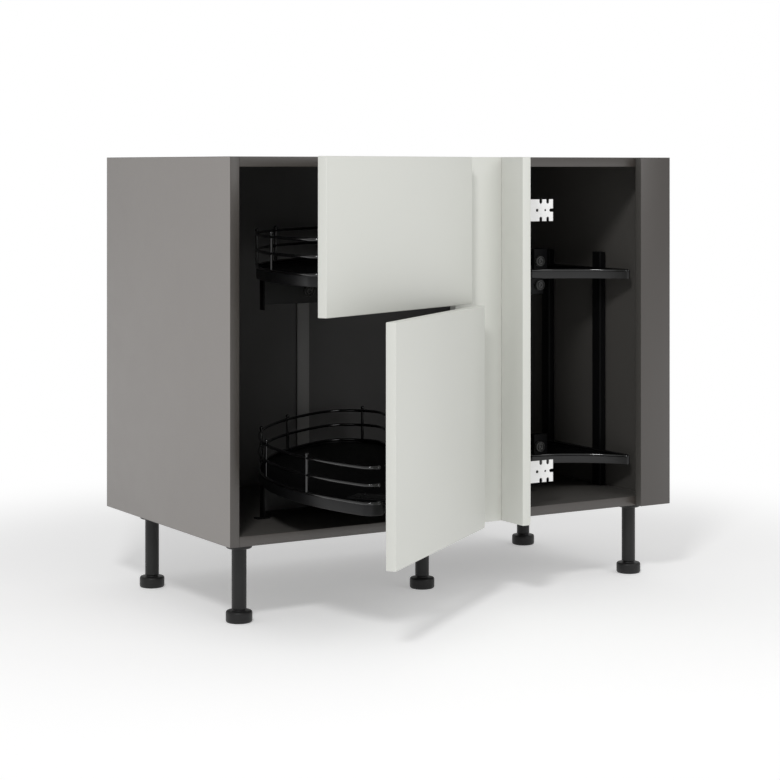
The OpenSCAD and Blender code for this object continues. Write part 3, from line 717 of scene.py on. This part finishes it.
def clamps():
    """Both clamp blocks as one piece, and all bolt heads as another."""
    blocks, knobs = [], []
    for level_name in LEVELS:
        seat, beam_top = high("corner_rim_" + level_name)[2], high("beam_" + level_name)[2]
        start = [BLOCK_LEFT, BEAM_FRONT, seat]
        blocks.append(slab_mesh(start, [BLOCK_RIGHT, BEAM_FRONT + BLOCK_D, seat + BLOCK_H], BLOCK_EDGE))
        knobs.append(knob_mesh(KNOB_X, seat + KNOB_RISE))
        knobs.append(knob_mesh(KNOB_X, seat - KNOB_DROP))
        knobs.append(knob_mesh(BEAM_KNOB_X, beam_top - BEAM_KNOB_DROP))
    place("clamp block bodies", joined(blocks), CABINET, "carcass", LAMINATE,
          ("clamp_blocks",))
    place("clamp bolt heads", joined(knobs), CABINET, "carcass", KNOB_PLASTIC,
          ("clamp_bolts",))


clamps()


# ---- Carousels ----

FRONT_EDGE = 1.3
TRAY_LIFT, TRAY_EDGE_ROUND = 0.5, 0.8
TIP_STEP, OUTER_STEP, TAIL_STEP, HEEL_STEP = 9.0, 1.5, 5.0, 8.0
POST_STEPS = 14
BRACKETS_X = (-450.0, -220.0)
BRACKET_W, BRACKET_REACH, BRACKET_T, BRACKET_EDGE = 60.0, 110.0, 3.0, 0.8
BRACKET_DROP, BRACKET_RISE, BRACKET_OVERLAP = 20, 70, 0.5
SCREW_R, SCREW_INSET, SCREW_STEPS = 4.0, 20, 20
SCREW_PLACES = (0.25, 0.75)
# A screw's head: shares of its radius, and heights
SCREW_OUTLINE = ((0, 0), (1, 0), (1, 0.5), (0.8, 1.7), (0.4, 2.2), (0.3, 1.4), (0, 1.4))


def on_carousel(name, mesh, level_name, look, slot, *replaced):
    """Puts a piece that is modelled about the closed pole on its carousel."""
    place(name, mesh, turned(level_name), level_name + "_carousel", look, replaced)


def tray_points(inset, start=270, step=TIP_STEP):
    """The tray's outline about the pole, drawn in by inset, from the tip round to the heel."""
    return [
        *arc(TIP_C, TIP_R - inset, start, TO_TIP, step),
        *arc(OUTER_C, OUTER_R - inset, TO_TIP, TO_TAIL, OUTER_STEP)[1:],
        *arc(TAIL_C, TAIL_R - inset, TO_TAIL, TO_WAIST, TAIL_STEP)[1:],
        *arc(WAIST_C, WAIST_R + inset, TO_WAIST + 180, HEEL_TO_WAIST + 180, OUTER_STEP)[1:],
        *arc(HEEL_C, HEEL_R - inset, HEEL_TO_WAIST, -90, HEEL_STEP)[1:],
    ]


def notch_points(edge):
    """The notch beside the pole, from the heel's side to the tip's, where it meets the straight edge."""
    across = around((0, 0), 1, 90 - FULL_OPEN)
    line_x = (-NOTCH_LIFT - across.y * edge) / across.x
    reach = math.sqrt(NOTCH_R ** 2 - NOTCH_LIFT ** 2)
    corner = -NOTCH_LIFT * across + reach * around((0, 0), 1, 180 - FULL_OPEN)
    first = math.degrees(math.atan2(corner.y, corner.x))
    last = 180 - math.degrees(math.asin(edge / NOTCH_R))
    return [Vector((line_x, edge)), *arc((0, 0), NOTCH_R, first, last)]


def front_panel(level_name):
    """A front with eased edges."""
    node = "front_" + level_name
    start = [FRONT_LEFT - POLE[0], FRONT_FACE - POLE[1], low(node)[2]]
    end = [FRONT_RIGHT - POLE[0], FRONT_BACK - POLE[1], high(node)[2]]
    mesh = slab_mesh(start, end, FRONT_EDGE)
    on_carousel(node + " panel", mesh, level_name, LACQUER, "front_lacquer", node)


def tray(level_name, base, top):
    """A half-moon board, in a steel band that is open along the straight edge."""
    plate = [*tray_points(RIM_T - BOARD_OVERLAP), *notch_points(TRAY_EDGE + RIM_T - BOARD_OVERLAP)]
    fill = outline_mesh(plate, base + TRAY_LIFT, top, TRAY_EDGE_ROUND)
    on_carousel("tray board " + level_name, fill, level_name, LAMINATE, "tray_laminate",
                "tray_board_" + level_name)
    band = band_mesh(tray_points(0), tray_points(RIM_T), base, base + RIM_H, RIM_ROUND, False)
    on_carousel("tray rim " + level_name, band, level_name, BAND_STEEL, "black_steel",
                "tray_rim_" + level_name)


def railing(level_name, base):
    """A bead on the rim, two wires above it, and posts with round ends."""
    inset = RIM_T / 2
    path = tray_points(inset, WIRE_END, WIRE_END_STEP)
    runs = ((RIM_H - BEAD_R / 2, BEAD_R), (RAIL_LOW, WIRE_R), (RAIL_HIGH, WIRE_R))
    pieces = [tube_mesh([Vector((*p, base + rise)) for p in path], radius) for rise, radius in runs]
    wire_end = around(TIP_C, TIP_R - inset, WIRE_END)
    pieces += [ball_mesh((*wire_end, base + rise), BALL_R) for rise in (RIM_H - 1, RAIL_LOW, RAIL_HIGH)]
    stands = [around(OUTER_C, OUTER_R - inset, FIRST_POST - POST_PITCH * k) for k in range(OUTER_POSTS)]
    stands += [around(TAIL_C, TAIL_R - inset, 0), around(HEEL_C, HEEL_R - inset, -90)]
    stands += [around(WAIST_C, WAIST_R + inset, turn) for turn in WAIST_POSTS]
    peak = base + RAIL_HIGH + POST_STAND
    tall = peak - base - RIM_H
    for stand in stands:
        post = lathe_mesh([(0, 0), (WIRE_R, 0), (WIRE_R, tall), (0, tall)], POST_STEPS)
        bmesh.ops.translate(post, verts=post.verts, vec=(*stand, base + RIM_H))
        pieces += [post, ball_mesh((*stand, peak), BALL_R)]
    on_carousel("tray railing " + level_name, joined(pieces), level_name, RIM_STEEL, "black_steel",
                "tray_railing_" + level_name)


def screw_mesh(x, y, z):
    """A pan head with a dimple, which lies on a plate."""
    mesh = lathe_mesh([(SCREW_R * share, height) for share, height in SCREW_OUTLINE], SCREW_STEPS)
    bmesh.ops.translate(mesh, verts=mesh.verts, vec=(x, y, z))
    return mesh


def front_brackets(level_name, base, top):
    """Two steel angles that hold the front on the tray, with two screws each."""
    back = FRONT_BACK - POLE[1]
    brackets, screws = [], []
    for x in BRACKETS_X:
        end = x + BRACKET_W
        on_front = ([x, back, base - BRACKET_DROP], [end, back + BRACKET_T, base + BRACKET_RISE])
        on_tray = ([x, back + BRACKET_T - BRACKET_OVERLAP, top], [end, BRACKET_REACH, top + BRACKET_T])
        brackets += [slab_mesh(*corners, BRACKET_EDGE) for corners in (on_front, on_tray)]
        screws += [screw_mesh(x + share * BRACKET_W, BRACKET_REACH - SCREW_INSET, top + BRACKET_T)
                   for share in SCREW_PLACES]
    on_carousel("front brackets " + level_name, joined(brackets), level_name, STEEL, "black_steel",
                "front_brackets_" + level_name)
    on_carousel("bracket screws " + level_name, joined(screws), level_name, STEEL, "black_steel")


for level_name in LEVELS:
    board_node = "tray_board_" + level_name
    base, top = low(board_node)[2], high(board_node)[2]
    front_panel(level_name)
    tray(level_name, base, top)
    railing(level_name, base)
    front_brackets(level_name, base, top)


# ---- Floor, light and background ----

FLOOR_AT, FLOOR_R, FLOOR_STEPS = (0.45, 0.2, 0), 60.0, 96
FLOOR_TONE, FLOOR_GLOW = (0.855, 0.855, 0.855, 1), 0.31
FLOOR_ROUGH, FLOOR_SPECULAR = 0.9, 0.2
FADE_FROM, FADE_TO = 0.75, 1.7
WHITE = (1, 1, 1, 1)
AMBIENT = 0.47
LIT = (0.45, 0.1, 0.45)


def floor_material():
    """A pale surface that fades to plain white with the distance from the object's origin."""
    made = bpy.data.materials.new("pale floor")
    made.use_nodes = True
    nodes, links = made.node_tree.nodes, made.node_tree.links
    shader, out = nodes["Principled BSDF"], nodes["Material Output"]
    shader.inputs["Base Color"].default_value = FLOOR_TONE
    shader.inputs["Roughness"].default_value = FLOOR_ROUGH
    shader.inputs["Specular IOR Level"].default_value = FLOOR_SPECULAR
    shader.inputs["Emission Color"].default_value = WHITE
    shader.inputs["Emission Strength"].default_value = FLOOR_GLOW
    glow = nodes.new("ShaderNodeEmission")
    glow.inputs["Color"].default_value = WHITE
    mix = nodes.new("ShaderNodeMixShader")
    coord = nodes.new("ShaderNodeTexCoord")
    length = nodes.new("ShaderNodeVectorMath")
    length.operation = "LENGTH"
    reach = nodes.new("ShaderNodeMapRange")
    reach.interpolation_type = "SMOOTHERSTEP"
    reach.inputs["From Min"].default_value = FADE_FROM
    reach.inputs["From Max"].default_value = FADE_TO
    links.new(coord.outputs["Object"], length.inputs[0])
    links.new(length.outputs["Value"], reach.inputs["Value"])
    links.new(reach.outputs["Result"], mix.inputs[0])
    links.new(shader.outputs["BSDF"], mix.inputs[1])
    links.new(glow.outputs["Emission"], mix.inputs[2])
    links.new(mix.outputs["Shader"], out.inputs["Surface"])
    return made


def fade_floor():
    """A floor that takes the shadow near the cabinet and fades to white away from it."""
    mesh = bmesh.new()
    bmesh.ops.create_circle(mesh, cap_ends=True, segments=FLOOR_STEPS, radius=FLOOR_R)
    data = bpy.data.meshes.new("floor")
    mesh.to_mesh(data)
    mesh.free()
    floor = bpy.data.objects.new("floor", data)
    floor.location = FLOOR_AT
    bpy.context.scene.collection.objects.link(floor)
    data.materials.append(floor_material())


def white_world():
    """White behind the object for the camera and through clear pieces, and a softer light for all else."""
    world = bpy.data.worlds.new("studio")
    world.use_nodes = True
    bpy.context.scene.world = world
    nodes, links = world.node_tree.nodes, world.node_tree.links
    background, out = nodes["Background"], nodes["World Output"]
    background.inputs["Color"].default_value = WHITE
    background.inputs["Strength"].default_value = AMBIENT
    seen = nodes.new("ShaderNodeBackground")
    seen.inputs["Color"].default_value = WHITE
    seen.inputs["Strength"].default_value = 1.0
    path = nodes.new("ShaderNodeLightPath")
    either = nodes.new("ShaderNodeMath")
    either.operation = "MAXIMUM"
    mix = nodes.new("ShaderNodeMixShader")
    links.new(path.outputs["Is Camera Ray"], either.inputs[0])
    links.new(path.outputs["Is Transmission Ray"], either.inputs[1])
    links.new(either.outputs["Value"], mix.inputs[0])
    links.new(background.outputs["Background"], mix.inputs[1])
    links.new(seen.outputs["Background"], mix.inputs[2])
    links.new(mix.outputs["Shader"], out.inputs["Surface"])


def area_light(name, at, size, power):
    """A round lamp, of a size in metres and a power in watts, that faces the cabinet."""
    data = bpy.data.lights.new(name, "AREA")
    data.shape = "DISK"
    data.size = size
    data.energy = power
    light = bpy.data.objects.new(name, data)
    light.location = at
    light.rotation_euler = (Vector(LIT) - Vector(at)).to_track_quat("-Z", "Y").to_euler()
    bpy.context.scene.collection.objects.link(light)


fade_floor()
white_world()
area_light("key", at=(-2.05, -2.7, 3.5), size=0.8, power=71.0)
area_light("fill", at=(2.0, -4.1, 3.0), size=3.0, power=41.0)

view = bpy.context.scene.view_settings
view.view_transform = "Standard"
view.look = "None"
